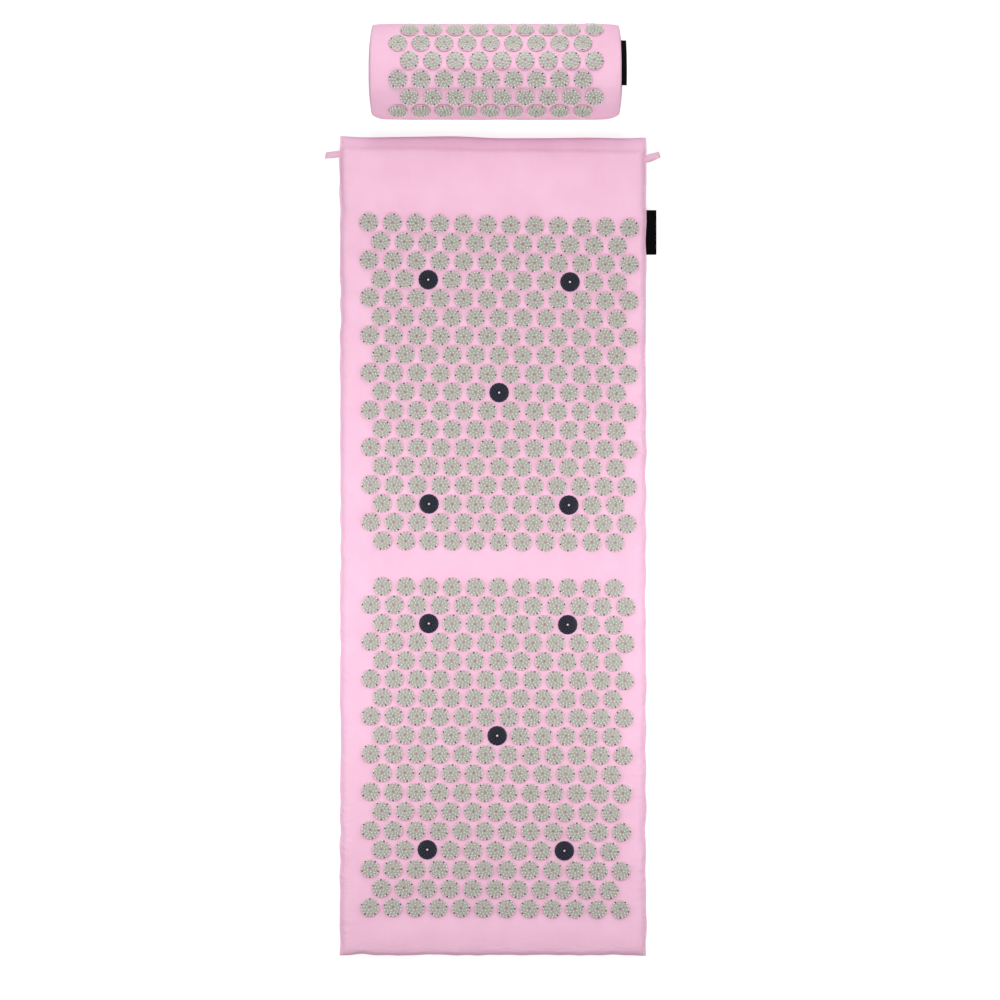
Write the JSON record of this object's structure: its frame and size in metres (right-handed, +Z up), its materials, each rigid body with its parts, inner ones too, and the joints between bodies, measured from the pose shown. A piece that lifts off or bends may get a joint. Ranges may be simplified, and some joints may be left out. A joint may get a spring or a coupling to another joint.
{
  "type": "acupressure mat",
  "caption": "Padded acupressure mat that folds in half at a plain band, with fields of spiked plastic discs on pink cotton, and a matching half-round neck pillow.",
  "frame": {"origin": "centre of the mat's underside, on the floor", "axes": "+Z up; +Y along the mat to its head end and the pillow; +X to the side with the label"},
  "size_m": [0.5363, 1.4816, 0.1055],
  "materials": {
    "cotton": "light pink plain-woven cotton",
    "foam": "cream polyurethane foam",
    "pale_disc": "moulded, satin",
    "navy_disc": "moulded, satin",
    "plug": "moulded, satin",
    "label": "black woven satin",
    "zip_tape": "woven polyester tape",
    "zip_coil": "moulded nylon",
    "metal": "nickel plate"
  },
  "bodies": {
    "head_half": {"head_top_panel": "cotton", "head_bottom_panel": "cotton", "head_foam": "foam", "fold_top_panel": "cotton", "fold_bottom_panel": "cotton", "fold_foam": "foam", "head_navy_disc_1": "navy_disc", "head_navy_disc_2": "navy_disc", "head_navy_disc_3": "navy_disc", "head_navy_disc_4": "navy_disc", "head_navy_disc_5": "navy_disc", "head_disc_plug_1": "plug", "head_disc_plug_2": "plug", "head_disc_plug_3": "plug", "head_disc_plug_4": "plug", "head_disc_plug_5": "plug", "hang_loop_left": "cotton", "hang_loop_right": "cotton", "mat_label": "label", "mat_zip_tape_inner": "zip_tape", "mat_zip_tape_outer": "zip_tape", "mat_zip_coil": "zip_coil", "mat_zip_stop": "metal"},
    "foot_half": {"foot_top_panel": "cotton", "foot_bottom_panel": "cotton", "foot_foam": "foam", "foot_navy_disc_1": "navy_disc", "foot_navy_disc_2": "navy_disc", "foot_navy_disc_3": "navy_disc", "foot_navy_disc_4": "navy_disc", "foot_navy_disc_5": "navy_disc", "foot_disc_plug_1": "plug", "foot_disc_plug_2": "plug", "foot_disc_plug_3": "plug", "foot_disc_plug_4": "plug", "foot_disc_plug_5": "plug"},
    "pillow": {"pillow_cover": "cotton", "pillow_core": "foam", "pillow_base_panel": "cotton", "pillow_end_left": "cotton", "pillow_end_right": "cotton", "pillow_label": "label", "pillow_zip_tape_lower": "zip_tape", "pillow_zip_tape_upper": "zip_tape", "pillow_zip_coil": "zip_coil", "pillow_zip_stop": "metal"},
    "mat_zip_slider": {"mat_zip_slider": "metal"},
    "mat_zip_pull": {"mat_zip_pull": "metal"},
    "pillow_zip_slider": {"pillow_zip_slider": "metal"},
    "pillow_zip_pull": {"pillow_zip_pull": "metal"}
  },
  "joints": [
    {"name": "fold_hinge", "type": "hinge", "parent": "head_half", "child": "foot_half", "pos_m": [0, -0.0293, 0.0296], "axis": [-1, 0, 0], "range_deg": [0, 180], "deforming": ["fold_top_panel", "fold_bottom_panel", "fold_foam"]},
    {"name": "pillow_lift", "type": "slide", "parent": "head_half", "child": "pillow", "axis": [0, 0, 1], "range_m": [0, 0.15]},
    {"name": "mat_zip_slide", "type": "slide", "parent": "head_half", "child": "mat_zip_slider", "axis": [-1, 0, 0], "range_m": [0, 0.415], "deforming": ["mat_zip_coil"]},
    {"name": "mat_zip_pull_flip", "type": "hinge", "parent": "mat_zip_slider", "child": "mat_zip_pull", "pos_m": [0.212, 0.639, 0.0057], "axis": [0, -1, 0], "range_deg": [0, 180]},
    {"name": "pillow_zip_slide", "type": "slide", "parent": "pillow", "child": "pillow_zip_slider", "axis": [-1, 0, 0], "range_m": [0, 0.315], "deforming": ["pillow_zip_coil"]},
    {"name": "pillow_zip_pull_flip", "type": "hinge", "parent": "pillow_zip_slider", "child": "pillow_zip_pull", "pos_m": [0.166, 0.82992, 0.01142], "axis": [0, -0.1353, -0.9908], "range_deg": [0, 180]}
  ]
}
